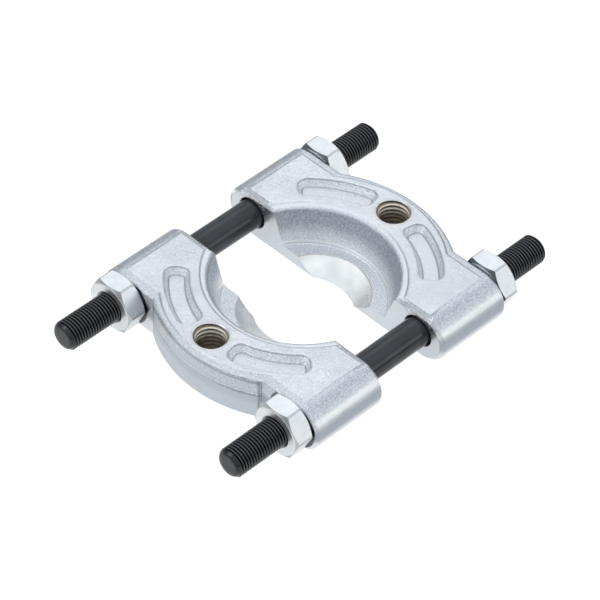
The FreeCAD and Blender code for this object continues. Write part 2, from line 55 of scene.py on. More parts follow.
MM = 0.001
LAND_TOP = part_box("right_half")[1].z / MM
RIGHT_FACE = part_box("right_half")[0].x / MM
LEFT_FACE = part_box("left_half")[1].x / MM
JAW_MIDDLE = (RIGHT_FACE + LEFT_FACE) / 2
JAW_REACH = (RIGHT_FACE - LEFT_FACE) / 2
STUD_OFFSET = (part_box("back_stud")[0].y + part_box("back_stud")[1].y) / 2 / MM
STUD_HEIGHT = (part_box("back_stud")[0].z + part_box("back_stud")[1].z) / 2 / MM
SEAT_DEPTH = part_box("back_right_nut")[0].x / MM - RIGHT_FACE

# The forms of a half: heights, radii, and the depths of their centres behind the mating face.
SHOULDER = 23.0
LEDGE = 6.1
THROAT_CENTRE = -17.2
THROAT_FOOT = 36.0
THROAT_LEAN = math.tan(math.radians(18))
ARCH_CENTRE = -15.2
ARCH_RADIUS = 65.0
KIDNEY_CENTRE = -15.7
KIDNEY_FLOOR = 19.5
PULLER_CENTRE = 37.5
PULLER_ROOT = 7.9

# Where the regions begin or end: the two numbers between which a mask rises or falls.
THROAT_RIM = (0.15, 0.8)
THROAT_BASE = (LEDGE + 0.2, LEDGE + 1.2)
MATING_SKIN = (0.01, 0.06)
BEHIND_MATING = (0.02, 0.06)
CONE_BACK = (15.0, 15.5)
CONE_SIDE = (23.5, 24.5)
CONE_TOP = (LEDGE - 0.2, LEDGE - 0.05)
CONE_FOOT = (0.02, 0.1)
LAND_FOOT = (SHOULDER + 0.2, SHOULDER + 0.6)
ARCH_WALL = (ARCH_RADIUS - 0.5, ARCH_RADIUS - 0.1)
ARCH_END = (33.0, 33.6)
KIDNEY_MOUTH = (LAND_TOP - 0.4, LAND_TOP - 0.1)
KIDNEY_BASE = (KIDNEY_FLOOR - 0.4, KIDNEY_FLOOR - 0.2)
KIDNEY_WALL = (KIDNEY_FLOOR + 0.1, KIDNEY_FLOOR + 0.5)
PULLER_CLEAR = (PULLER_ROOT + 0.1, PULLER_ROOT + 0.4)
PULLER_STAIN = (PULLER_ROOT + 0.2, PULLER_ROOT + 1.8)
NUT_GAP_SHADE = (13.2, 14.0)
SHOULDER_SKIN = (14.0, 19.0)
STRIP_SIDE = (56.0, 59.0)
STRIP_HEIGHT = (19.5, 22.0)
BOSS_FLANK = (58.0, 62.0)
ARCH_CORNER_SHADE = (31.8, 32.8)
FLASH_SIDE = (4.0, 26.0)
THROAT_GLOW = (8.0, 17.0)
LIP_HEIGHT = (19.0, 20.5)
BROW_HEIGHT = (SHOULDER - 1.5, SHOULDER - 0.5)
BROW_BEYOND = (0.5, 2.0)

# Bands and lines: the middle, how far it is full to each side, and the fade beyond.
LEDGE_BAND = (LEDGE, 0.1, 0.2)
KIDNEY_BAND = (53.6, 7.0, 0.2)
SEAT_BAND = (SEAT_DEPTH, 0.2, 0.2)
BELT_BAND = (LAND_TOP / 2 + 1.0, 1.2, 4.2)
FLASH_LINE = (15.2, 0.15, 0.4)
FLASH_SHADE = (14.3, 0.3, 0.5)
GROOVE_LINE = (20.9, 0.15, 0.5)
RIDGE_BAND = (17.6, 0.4, 1.8)
KIDNEY_LIP = (LAND_TOP - 0.7, 0.15, 0.3)
KIDNEY_FOOT = (KIDNEY_FLOOR + 0.3, 0.1, 0.3)
THROAT_FOOT_HIGHLIGHT = (LEDGE + 1.3, 0.2, 0.7)
THROAT_LIP = (2.2, 0.5, 1.2)
BROW_LINE = (0.75, 0.25, 0.5)

# How uneven the skin is. Nearly all of a noise lies within its swing.
SWING = (0.3, 0.7)
GRAIN_SWING = (0.35, 0.68)
TURNING_SWING = (0.35, 0.65)
BELT_WANDER = 1.0
FLASH_WANDER = 1.6
ARCH_BELT_LOSS = -0.6
THROAT_SPECKLE = 0.35
GLOW_STRENGTH = (0.55, 0.0)
PLATING_ROUGHNESS = (0.36, 0.50)
BELT_ROUGHER, MACHINED_ROUGHER, THROAT_ROUGHER = -0.08, -0.10, 0.08

PLATING = (0.69, 0.71, 0.75, 1)
PLATING_LIGHT = (0.77, 0.79, 0.82, 1)
ARCH_WALL_SHADE = (0.48, 0.52, 0.57, 1)
BELT_PAINTED_SHADE = (0.36, 0.39, 0.44, 1)
SHOULDER_DARK = (0.42, 0.45, 0.50, 1)
SHOULDER_PALE = (0.70, 0.73, 0.76, 1)
STRIP_SHADE_DARK = (0.30, 0.33, 0.38, 1)
STRIP_SHADE_PALE = (0.56, 0.59, 0.63, 1)
THROAT_DARK = (0.33, 0.37, 0.43, 1)
THROAT_PALE = (0.96, 0.97, 0.98, 1)
LEDGE_GREY = (0.54, 0.57, 0.60, 1)
KIDNEY_GREY = (0.82, 0.84, 0.87, 1)
KIDNEY_PALE = (0.94, 0.96, 0.98, 1)
CUT_STEEL = (0.70, 0.71, 0.71, 1)
CUT_STEEL_LIGHT = (0.86, 0.86, 0.85, 1)
MATING_GREY = (0.62, 0.66, 0.70, 1)
OIL_TAN = (0.62, 0.54, 0.47, 1)
PAINTED_SHADE_GREY = (0.18, 0.21, 0.24, 1)
SEAT_GAP_SHADE = (0.06, 0.07, 0.08, 1)


class Finish:
    """A finish being put together: each call adds its shader nodes and gives back an output."""

    def __init__(self, tree):
        self.tree = tree

    def node(self, kind, **settings):
        """Adds a node and sets its properties."""
        made = self.tree.nodes.new(kind)
        for name, setting in settings.items():
            setattr(made, name, setting)
        return made

    def feed(self, socket, source):
        """Links an output to a socket, or sets a plain value on it."""
        if isinstance(source, bpy.types.NodeSocket):
            self.tree.links.new(source, socket)
        elif source is not None:
            socket.default_value = source

    def math(self, operation, first, second=None, third=None, clamp=False):
        """A number worked out from up to three others."""
        made = self.node("ShaderNodeMath", operation=operation, use_clamp=clamp)
        for socket, source in zip(made.inputs, (first, second, third)):
            self.feed(socket, source)
        return made.outputs[0]

    def apart(self, first, second):
        """How far two numbers are apart."""
        return self.math("ABSOLUTE", self.math("SUBTRACT", first, second))

    def outside(self, mask):
        """One where a mask is nothing."""
        return self.math("SUBTRACT", 1.0, mask)

    def all_of(self, *masks):
        """The product of several masks."""
        product = masks[0]
        for mask in masks[1:]:
            product = self.math("MULTIPLY", product, mask)
        return product

    def any_of(self, *masks):
        """The largest of several masks."""
        largest = masks[0]
        for mask in masks[1:]:
            largest = self.math("MAXIMUM", largest, mask)
        return largest

    def ramp(self, number, low, high, at_low=0.0, at_high=1.0):
        """Runs smoothly from at_low to at_high while number goes from low to high."""
        made = self.node("ShaderNodeMapRange", interpolation_type="SMOOTHSTEP")
        for socket, source in zip(made.inputs, (number, low, high, at_low, at_high)):
            self.feed(socket, source)
        return made.outputs[0]

    def fade(self, number, low, high):
        """Runs smoothly from one to nothing while number goes from low to high."""
        return self.ramp(number, low, high, 1.0, 0.0)

    def band(self, number, middle, reach, fade):
        """One within reach of the middle, fading to nothing over the fade beyond."""
        return self.fade(self.apart(number, middle), reach, reach + fade)

    def mix(self, factor, first, second):
        """A colour between two others, which are sockets 6 and 7 of a Mix node, with output 2 as the mix."""
        made = self.node("ShaderNodeMix", data_type="RGBA")
        self.feed(made.inputs[0], factor)
        self.feed(made.inputs[6], first)
        self.feed(made.inputs[7], second)
        return made.outputs[2]

    def coats(self, colour, *coats):
        """A colour under coats of (mask, share, paint), each laid over those before it."""
        for mask, share, paint in coats:
            colour = self.mix(self.math("MULTIPLY", mask, share), colour, paint)
        return colour

    def axes(self, place):
        """The x, y and z of a place."""
        made = self.node("ShaderNodeSeparateXYZ")
        self.feed(made.inputs[0], place)
        return made.outputs

    def away(self, first, second, first_centre):
        """The distance of a point from a centre on the first of its two axes."""
        flat = self.node("ShaderNodeCombineXYZ")
        self.feed(flat.inputs[0], self.math("SUBTRACT", first, first_centre))
        self.feed(flat.inputs[1], second)
        length = self.node("ShaderNodeVectorMath", operation="LENGTH")
        self.feed(length.inputs[0], flat.outputs[0])
        return length.outputs["Value"]

    def place(self):
        """Where a point is on its piece, in millimetres, from Object coordinates."""
        scaled = self.node("ShaderNodeVectorMath", operation="SCALE")
        self.feed(scaled.inputs[0], self.node("ShaderNodeTexCoord").outputs["Object"])
        scaled.inputs["Scale"].default_value = 1 / MM
        return scaled.outputs[0]

    def read(self, group, place):
        """The outputs of a node group at a place."""
        made = self.node("ShaderNodeGroup", node_tree=group)
        self.feed(made.inputs["Place"], place)
        return made.outputs

    def noise(self, place, scale, detail=3.0, roughness=0.5, distortion=0.0):
        """Cloudy noise from 0 to 1, with scale in features per millimetre."""
        made = self.node("ShaderNodeTexNoise")
        for label, source in (
            ("Vector", place),
            ("Scale", scale),
            ("Detail", detail),
            ("Roughness", roughness),
            ("Distortion", distortion),
        ):
            self.feed(made.inputs[label], source)
        return made.outputs["Fac"]

    def bump(self, height, distance, strength=1.0, normal=None):
        """Tilts the normal by a height field whose full swing is distance, in millimetres."""
        made = self.node("ShaderNodeBump")
        self.feed(made.inputs["Strength"], strength)
        self.feed(made.inputs["Distance"], distance * MM)
        self.feed(made.inputs["Height"], height)
        self.feed(made.inputs["Normal"], normal)
        return made.outputs[0]


def place_group(name, outputs):
    """An empty node group that is given a place: its tree, its finish, the place and its output sockets."""
    group = bpy.data.node_groups.new(name, "ShaderNodeTree")
    group.interface.new_socket("Place", in_out="INPUT", socket_type="NodeSocketVector")
    for label in outputs:
        group.interface.new_socket(label, in_out="OUTPUT", socket_type="NodeSocketFloat")
    finish = Finish(group)
    place = finish.node("NodeGroupInput").outputs["Place"]
    return group, finish, place, finish.node("NodeGroupOutput").inputs


def new_material(name):
    """A material with its finish and the inputs of its Principled shader."""
    material = bpy.data.materials.new(name)
    material.use_nodes = True
    return material, Finish(material.node_tree), material.node_tree.nodes["Principled BSDF"].inputs


def stud_reach():
    """How far a point is from the axis of the nearer stud, across it."""
    group, finish, place, out = place_group("stud_reach", ["Reach"])
    y, z = finish.axes(place)[1:]
    above = finish.math("SUBTRACT", z, STUD_HEIGHT)
    finish.feed(out["Reach"], finish.away(finish.math("ABSOLUTE", y), above, STUD_OFFSET))
    return group


STUD_REACH = stud_reach()


def half_regions():
    """Where a point is on a half, and the masks of the half's regions.

    Depth is measured from the mating face, Side from the middle plane between the studs, Height from the
    table, and Beyond outwards from the throat's wall, whose radius grows with the height above the ledge.
    """
    measures = ("Depth", "Side", "Height", "Beyond")
    regions = ("Throat", "Ledge", "Cone", "Land", "Mating", "Arch", "Kidney", "Puller", "SeatShade")
    group, finish, place, out = place_group("half_regions", measures + regions)
    x, y, height = finish.axes(place)
    depth = finish.math("SUBTRACT", finish.apart(x, JAW_MIDDLE), JAW_REACH)
    side = finish.math("ABSOLUTE", y)
    wall = finish.math("MULTIPLY_ADD", finish.math("SUBTRACT", height, LEDGE), THROAT_LEAN, THROAT_FOOT)
    beyond = finish.math("SUBTRACT", finish.away(depth, side, THROAT_CENTRE), wall)
    for name, measure in zip(measures, (depth, side, height, beyond)):
        finish.feed(out[name], measure)

    inside = finish.fade(beyond, *THROAT_RIM)
    behind = finish.ramp(depth, *BEHIND_MATING)
    from_puller = finish.away(depth, side, PULLER_CENTRE)
    finish.feed(out["Throat"], finish.all_of(inside, behind, finish.ramp(height, *THROAT_BASE)))
    finish.feed(out["Ledge"], finish.all_of(inside, behind, finish.band(height, *LEDGE_BAND)))
    finish.feed(out["Cone"], finish.all_of(
        behind,
        finish.fade(depth, *CONE_BACK),
        finish.fade(side, *CONE_SIDE),
        finish.fade(height, *CONE_TOP),
        finish.ramp(height, *CONE_FOOT),
    ))
    finish.feed(out["Land"], finish.ramp(height, *LAND_FOOT))
    finish.feed(out["Mating"], finish.fade(depth, *MATING_SKIN))
    finish.feed(out["Arch"], finish.all_of(
        finish.ramp(finish.away(depth, side, ARCH_CENTRE), *ARCH_WALL),
        finish.fade(side, *ARCH_END),
    ))
    finish.feed(out["Kidney"], finish.all_of(
        finish.band(finish.away(depth, side, KIDNEY_CENTRE), *KIDNEY_BAND),
        finish.ramp(from_puller, *PULLER_CLEAR),
        finish.fade(height, *KIDNEY_MOUTH),
        finish.ramp(height, *KIDNEY_BASE),
    ))
    finish.feed(out["Puller"], finish.fade(from_puller, *PULLER_STAIN))
    # Painted shade: a dark ring on the seat just round the nut, for the gap under its edge.
    finish.feed(out["SeatShade"], finish.all_of(
        finish.fade(finish.read(STUD_REACH, place)["Reach"], *NUT_GAP_SHADE),
        finish.band(depth, *SEAT_BAND),
    ))
    return group


HALF_REGIONS = half_regions()


def forged_plating():
    """Satin plating: leathery on the land, grainy on shoulders and throat, smooth where machined."""
    material, finish, surface = new_material("forged_plating")
    place = finish.place()
    mask = finish.read(HALF_REGIONS, place)
    height = mask["Height"]

    clouds = finish.noise(place, scale=0.07, detail=4.0)
    leather = finish.noise(place, scale=0.75, detail=2.5, distortion=1.4)
    grain = finish.noise(place, scale=1.3, detail=2.0, roughness=0.7)
    turning = finish.noise(place, scale=0.09, detail=1.0)
    speckle = finish.ramp(grain, *GRAIN_SWING)

    machined = finish.any_of(mask["Cone"], mask["Mating"])
    forged = finish.outside(machined)
    off_throat = finish.outside(mask["Throat"])
    top = finish.any_of(mask["Land"], mask["Kidney"])
    shoulder = finish.all_of(finish.ramp(height, *SHOULDER_SKIN), finish.outside(top), off_throat, forged)
    # Painted shade: a darker belt round the forged sides at mid-height, where they reflect less light. It
    # wanders with the clouds and is weaker on the arch.
    painted_shade_belt = finish.all_of(
        forged,
        off_throat,
        finish.band(finish.math("MULTIPLY_ADD", clouds, BELT_WANDER, height), *BELT_BAND),
        finish.math("MULTIPLY_ADD", mask["Arch"], ARCH_BELT_LOSS, 1.0),
    )
    # Painted shade: the outer strip along the top of the bosses is darkened, over its grain.
    strip = finish.all_of(
        shoulder, finish.ramp(mask["Side"], *STRIP_SIDE), finish.ramp(height, *STRIP_HEIGHT))
    # Painted highlight: a light band along the bosses' outer flanks, a little below the top.
    painted_highlight_ridge = finish.all_of(forged, finish.band(height, *RIDGE_BAND), finish.ramp(mask["Side"], *BOSS_FLANK))
    wavy = finish.math("MULTIPLY_ADD", leather, FLASH_WANDER, height)
    flash = finish.all_of(mask["Arch"], finish.band(wavy, *FLASH_LINE))
    # Painted shade lines: under the flash, in a groove near the arch's top, and in the arch's corner by the
    # seat.
    shade_under_flash = finish.all_of(
        mask["Arch"], finish.band(wavy, *FLASH_SHADE), finish.ramp(mask["Side"], *FLASH_SIDE))
    groove_shade = finish.all_of(mask["Arch"], finish.band(height, *GROOVE_LINE))
    corner = finish.all_of(mask["Arch"], finish.ramp(mask["Side"], *ARCH_CORNER_SHADE))
    kidney_wall = finish.all_of(mask["Kidney"], finish.ramp(height, *KIDNEY_WALL))
    # Painted shade lines at the kidneys' lip and foot.
    kidney_lip_shade = finish.all_of(mask["Kidney"], finish.band(height, *KIDNEY_LIP))
    kidney_foot_shade = finish.all_of(mask["Kidney"], finish.band(height, *KIDNEY_FOOT))
    # Painted highlight: a lighter band on the rounded lip round the top of the throat.
    throat_lip_highlight = finish.all_of(
        forged,
        off_throat,
        finish.band(mask["Beyond"], *THROAT_LIP),
        finish.ramp(height, *LIP_HEIGHT),
        finish.outside(mask["Land"]),
    )
    # Painted shade: a dark line along the top edge just behind the mating face.
    brow_shade = finish.all_of(
        finish.band(mask["Depth"], *BROW_LINE),
        finish.ramp(height, *BROW_HEIGHT),
        finish.ramp(mask["Beyond"], *BROW_BEYOND),
    )
    # Painted light and shade in the throat: dark high up under the rim and lighter towards the ledge, over
    # the grain, with a painted highlight along the wall's foot.
    lower_painted_light = finish.ramp(height, *THROAT_GLOW, *GLOW_STRENGTH)
    throat_painted_light = finish.math("MULTIPLY_ADD", speckle, THROAT_SPECKLE, lower_painted_light)
    throat_painted_light = finish.math("ADD", throat_painted_light, finish.band(height, *THROAT_FOOT_HIGHLIGHT), clamp=True)

    finish.feed(surface["Base Color"], finish.coats(
        finish.mix(finish.ramp(clouds, *SWING), PLATING, PLATING_LIGHT),
        # Painted shade: the arch's outer wall is coloured darker than the top.
        (mask["Arch"], 0.8, ARCH_WALL_SHADE),
        (painted_shade_belt, 1.0, BELT_PAINTED_SHADE),
        (shoulder, 0.7, finish.mix(speckle, SHOULDER_DARK, SHOULDER_PALE)),
        (strip, 0.55, finish.mix(speckle, STRIP_SHADE_DARK, STRIP_SHADE_PALE)),
        (throat_lip_highlight, 0.7, PLATING_LIGHT),
        (mask["Throat"], 1.0, finish.mix(throat_painted_light, THROAT_DARK, THROAT_PALE)),
        (mask["Ledge"], 1.0, finish.mix(speckle, LEDGE_GREY, PLATING_LIGHT)),
        (mask["Cone"], 1.0, finish.mix(finish.ramp(turning, *TURNING_SWING), CUT_STEEL, CUT_STEEL_LIGHT)),
        (mask["Mating"], 1.0, MATING_GREY),
        (mask["Kidney"], 1.0, KIDNEY_GREY),
        (kidney_wall, 1.0, finish.mix(speckle, PLATING, KIDNEY_PALE)),
        (painted_highlight_ridge, 0.8, KIDNEY_PALE),
        (flash, 1.0, finish.mix(speckle, PLATING, THROAT_PALE)),
        # Painted shade: the dark lines and the corner.
        (shade_under_flash, 0.6, PAINTED_SHADE_GREY),
        (groove_shade, 0.6, PAINTED_SHADE_GREY),
        (corner, 0.7, PAINTED_SHADE_GREY),
        (kidney_lip_shade, 0.5, PAINTED_SHADE_GREY),
        (kidney_foot_shade, 0.55, PAINTED_SHADE_GREY),
        (brow_shade, 0.45, PAINTED_SHADE_GREY),
        (mask["SeatShade"], 0.9, SEAT_GAP_SHADE),
        (mask["Puller"], 0.35, OIL_TAN),
    ))
    surface["Metallic"].default_value = 1.0

    rough = finish.ramp(leather, *SWING, *PLATING_ROUGHNESS)
    for where, rougher in (
        (painted_shade_belt, BELT_ROUGHER),
        (machined, MACHINED_ROUGHER),
        (mask["Throat"], THROAT_ROUGHER),
    ):
        rough = finish.math("MULTIPLY_ADD", where, rougher, rough)
    finish.feed(surface["Roughness"], rough)

    grainy = finish.any_of(shoulder, mask["Throat"], mask["Ledge"], kidney_wall)
    normal = finish.bump(finish.all_of(grain, grainy), distance=0.36, strength=0.6)
    normal = finish.bump(finish.all_of(leather, top), distance=0.7, strength=0.6, normal=normal)
    normal = finish.bump(finish.all_of(flash, grain), distance=0.8, normal=normal)
    normal = finish.bump(finish.all_of(clouds, forged), distance=1.5, strength=0.5, normal=normal)
    finish.feed(surface["Normal"], normal)
    return material


FORGED_PLATING = forged_plating()
for name in ("right_half", "left_half"):
    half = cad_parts[name]
    half.data.materials.clear()
    half.data.materials.append(FORGED_PLATING)


# The threads of the two puller holes, 5/8 inch with 11 turns to the inch. They are cut after forging and
# stay oily, so they look brown beside the plating, deeper down they are darkened as painted shade, and a
# countersink leads into them at each end.

PULLER_PITCH = 25.4 / 11
PULLER_CREST = 6.7
PULLER_SKIN = 7.94
PULLER_MOUTH = PULLER_ROOT + 0.02
PULLER_TURN_STEPS = 72
PULLER_PROFILE = ((0.0, PULLER_CREST), (0.15, PULLER_CREST), (0.56, PULLER_ROOT), (0.62, PULLER_ROOT))
PULLER_SHARP_EDGE = math.radians(35)
MERGING_DIGITS = 5

# The crests by their radius, how far down the light reaches, and the mouth's rings by their depth.
CREST_EDGE = (PULLER_CREST + 0.2, PULLER_CREST + 0.9)
LIGHT_DOWN_HOLE = (LAND_TOP - 9, LAND_TOP - 0.5)
RUST_RING = (1.0, 1.4)
TAN_RING = (0.8, 1.0)
GREY_RING = (0.6, 0.7)
PLATED_RING = (0.4, 0.5)

# How uneven the oil and its shine are.
STAIN_SWING = (0.5, 0.8)
OILY_ROUGHNESS = (0.34, 0.46)

OIL_AND_SHADE_BROWN = (0.10, 0.08, 0.06, 1)
OILY_CREST = (0.78, 0.74, 0.64, 1)
STAIN_BROWN = (0.36, 0.26, 0.17, 1)
RUST_BROWN = (0.44, 0.28, 0.17, 1)
MOUTH_TAN = (0.66, 0.60, 0.56, 1)
MOUTH_GREY = (0.34, 0.33, 0.34, 1)


def helix_grid(profile, pitch, start, stop, turn_steps):
    """The turn angle, the place along the axis and the radius of a thread's points, and its faces.

    A profile of (share of the pitch, radius) is carried along a helix: the point at angle step k and profile
    step s stands at start + pitch * (k / turn_steps + turn + share of s), held between start and stop, and
    its radius is read off the profile at that place. The last step of a turn meets the first of the next,
    one profile further on, and the faces there that have no such neighbour are left out.
    """
    turns = math.ceil((stop - start) / pitch) + 2
    share = np.array([item[0] for item in profile])
    radii = np.array([item[1] for item in profile])
    rows = (np.arange(turns)[:, None] + share[None, :]).ravel() - 1
    angle, row = np.meshgrid(np.arange(turn_steps) / turn_steps, rows, indexing="ij")
    along = np.clip(start + pitch * (angle + row), start, stop)
    within = (along - start) / pitch - angle
    radius = np.interp(within % 1, np.append(share, 1), np.append(radii, radii[0]))
    number = np.arange(angle.size).reshape(angle.shape)
    after = np.vstack([number[1:], np.roll(number[:1], -len(profile), axis=1)])
    kept = np.ones((angle.shape[0], angle.shape[1] - 1), bool)
    kept[-1, -len(profile):] = False
    corners = (number[:, :-1], after[:, :-1], after[:, 1:], number[:, 1:])
    faces = np.stack([corner[kept] for corner in corners], axis=-1)
    return angle * 2 * math.pi, along, radius, faces


def ring_faces(numbers):
    """The faces between neighbouring rows of a grid whose columns run once round."""
    after = np.roll(numbers, -1, axis=0)
    corners = (numbers[:, :-1], after[:, :-1], after[:, 1:], numbers[:, 1:])
    return np.stack([corner.ravel() for corner in corners], axis=-1)


def closed_piece(name, points, faces, sharp_edge):
    """A piece from points in millimetres and four-cornered faces, with points that coincide made one.

    Each face becomes two triangles, and a triangle whose corners have run together is left out. An edge is
    sharp where its faces turn by more than the angle sharp_edge.
    """
    places, corner = np.unique(
        np.round(points.reshape(-1, 3), MERGING_DIGITS), axis=0, return_inverse=True)
    quads = corner.ravel()[faces]
    triangles = np.concatenate([quads[:, [0, 1, 2]], quads[:, [0, 2, 3]]])
    first, second, third = triangles.T
    triangles = triangles[(first != second) & (second != third) & (third != first)]
    mesh = bpy.data.meshes.new(name)
    mesh.vertices.add(len(places))
    mesh.vertices.foreach_set("co", (places * MM).ravel())
    mesh.loops.add(triangles.size)
    mesh.loops.foreach_set("vertex_index", triangles.ravel())
    mesh.polygons.add(len(triangles))
    mesh.polygons.foreach_set("loop_start", np.arange(0, triangles.size, 3))
    mesh.update(calc_edges=True)
    mesh.polygons.foreach_set("use_smooth", np.ones(len(triangles), bool))
    mesh.set_sharp_from_angle(angle=sharp_edge)
    piece = bpy.data.objects.new(name, mesh)
    bpy.context.scene.collection.objects.link(piece)
    return piece


def puller_thread(name, centre):
    """The threaded skin of a puller hole, seen from its axis, closed by a plain cylinder behind it.

    The radius is the thread's, or that of a cone that opens to the mouth at either face where that is more.
    """
    angle, along, radius, faces = helix_grid(
        PULLER_PROFILE, PULLER_PITCH, 0.0, LAND_TOP, PULLER_TURN_STEPS)
    to_face = np.minimum(along, LAND_TOP - along)
    radius = np.maximum(radius, PULLER_MOUTH - to_face)
    ends = np.stack([
        np.column_stack([along[:, -1], radius[:, -1]]),
        np.broadcast_to((LAND_TOP, PULLER_SKIN), (len(angle), 2)),
        np.broadcast_to((0.0, PULLER_SKIN), (len(angle), 2)),
        np.column_stack([along[:, 0], radius[:, 0]]),
    ], axis=1)
    numbers = angle.size + np.arange(ends.shape[0] * ends.shape[1]).reshape(ends.shape[:2])
    turn = np.concatenate([angle.ravel(), np.repeat(angle[:, 0], ends.shape[1])])
    place = np.concatenate([along.ravel(), ends[..., 0].ravel()])
    reach = np.concatenate([radius.ravel(), ends[..., 1].ravel()])
    points = np.stack([centre + reach * np.cos(turn), reach * np.sin(turn), place], axis=-1)
    faces = np.concatenate([faces, ring_faces(numbers)])
    return closed_piece(name, points, faces[:, ::-1], PULLER_SHARP_EDGE)


def oily_thread():
    """Cut steel under old oil: tan on the crests and the countersink, dark brown at the roots, and painted
    shade darkening it to the same brown deeper down the hole.
    """
    material, finish, surface = new_material("oily_thread")
    place = finish.place()
    mask = finish.read(HALF_REGIONS, place)
    reach = finish.away(mask["Depth"], mask["Side"], PULLER_CENTRE)
    stain = finish.noise(place, scale=0.6)
    depth = finish.math("SUBTRACT", LAND_TOP, mask["Height"])
    steel = finish.coats(
        finish.mix(finish.fade(reach, *CREST_EDGE), OIL_AND_SHADE_BROWN, OILY_CREST),
        (finish.ramp(stain, *STAIN_SWING), 1.0, STAIN_BROWN),
        (finish.fade(depth, *RUST_RING), 1.0, RUST_BROWN),
        (finish.fade(depth, *TAN_RING), 1.0, MOUTH_TAN),
        (finish.fade(depth, *GREY_RING), 1.0, MOUTH_GREY),
        (finish.fade(depth, *PLATED_RING), 1.0, PLATING),
    )
    # Painted shade: the thread darkens deeper down the hole, where less light reaches.
    lit = finish.ramp(mask["Height"], *LIGHT_DOWN_HOLE)
    finish.feed(surface["Base Color"], finish.mix(lit, OIL_AND_SHADE_BROWN, steel))
    surface["Metallic"].default_value = 1.0
    finish.feed(surface["Roughness"], finish.ramp(stain, *SWING, *OILY_ROUGHNESS))
    return material


OILY_THREAD = oily_thread()
for side, centre in (("right", RIGHT_FACE + PULLER_CENTRE), ("left", LEFT_FACE - PULLER_CENTRE)):
    thread = puller_thread(side + "_puller_thread", centre)
    thread.data.materials.append(OILY_THREAD)
    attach(thread, side + "_half")


# The studs: bars of M14 with a rolled fine thread at each end and a plain middle, blackened and oiled. A
# nut at each end holds a half on them. Their ends are chamfered to below the thread's root.

STUD_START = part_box("front_stud")[0].x / MM
STUD_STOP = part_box("front_stud")[1].x / MM
STUD_PITCH = 1.5
STUD_SHANK = 7.0
STUD_CREST = 6.97
STUD_ROOT = 6.08
STUD_THREAD = 57.0
STUD_CHAMFER = 1.5
STUD_RUN_OUT = 3.0
STUD_END_RING = 0.7
STUD_TURN_STEPS = 56
STUD_PROFILE = ((0.0, STUD_ROOT), (0.16, STUD_ROOT), (0.52, STUD_CREST), (0.64, STUD_CREST))
STUD_SHARP_EDGE = math.radians(60)

# Where the thread and the end's chamfer set in along the stud, and the crests across it.
THREAD_ENTRY = (STUD_STOP - STUD_THREAD, STUD_STOP - STUD_THREAD + STUD_RUN_OUT)
TIP_ENTRY = (STUD_STOP - STUD_CHAMFER, STUD_STOP - 0.8 * STUD_CHAMFER)
RUBBED_CREST = (STUD_CREST - 0.6, STUD_CREST - 0.1)

# How the marks of drawing run along the bar, and how rough, metallic and oily its black skin is.
DRAWING_STRETCH = (0.15, 1.0, 1.0)
SHANK_ROUGHNESS = (0.13, 0.18)
THREAD_ROUGHER = 0.13
ROOT_METAL, SKIN_METAL = 1.0, 0.35
OILED_SPECULAR = 0.42

OXIDE_BLACK = (0.026, 0.029, 0.033, 1)
OXIDE_GREY = (0.036, 0.040, 0.045, 1)
ROOT_BLACK = (0.002, 0.002, 0.003, 1)
CREST_GREY = (0.070, 0.074, 0.080, 1)
TIP_BLACK = (0.026, 0.028, 0.032, 1)


def threaded_stud(name, offset):
    """A stud: two threaded ends on helices, joined by a plain middle and closed by flat ends.

    Along the stud the radius is the thread's, but no more than the end chamfer's cone allows, and it rises
    to the plain middle's over the run-out. The right end is the left one turned half round about the
    vertical line through the stud's middle.
    """
    middle = (STUD_START + STUD_STOP) / 2
    inner = STUD_START + STUD_THREAD
    angle, along, radius, faces = helix_grid(STUD_PROFILE, STUD_PITCH, STUD_START, inner, STUD_TURN_STEPS)
    run_out = np.clip((along - inner + STUD_RUN_OUT) / STUD_RUN_OUT, 0, 1)
    radius = radius + (STUD_SHANK - radius) * run_out
    radius = np.minimum(radius, STUD_CREST - STUD_CHAMFER + (along - STUD_START))
    rim, neck = radius[:, 0], radius[:, -1]
    cap = np.stack([
        np.column_stack([along[:, 0], np.zeros_like(rim)]),
        np.column_stack([along[:, 0], rim * STUD_END_RING]),
        np.column_stack([along[:, 0], rim]),
    ], axis=1)
    waist = np.stack([
        np.column_stack([along[:, -1], neck]),
        np.column_stack([np.full_like(neck, middle), neck]),
    ], axis=1)
    turn = [angle.ravel()]
    place = [along.ravel()]
    reach = [radius.ravel()]
    joined = [faces]
    count = angle.size
    for strip in (cap, waist):
        turn.append(np.repeat(angle[:, 0], strip.shape[1]))
        place.append(strip[..., 0].ravel())
        reach.append(strip[..., 1].ravel())
        joined.append(ring_faces(count + np.arange(strip[..., 0].size).reshape(strip.shape[:2])))
        count += strip[..., 0].size
    turn, place, reach = (np.concatenate(parts) for parts in (turn, place, reach))
    faces = np.concatenate(joined)
    left = np.stack([place, reach * np.cos(turn), reach * np.sin(turn)], axis=-1)
    right = left * (-1, -1, 1) + (2 * middle, 0, 0)
    points = np.concatenate([left, right]) + (0, offset, STUD_HEIGHT)
    return closed_piece(name, points, np.concatenate([faces, faces + count]), STUD_SHARP_EDGE)


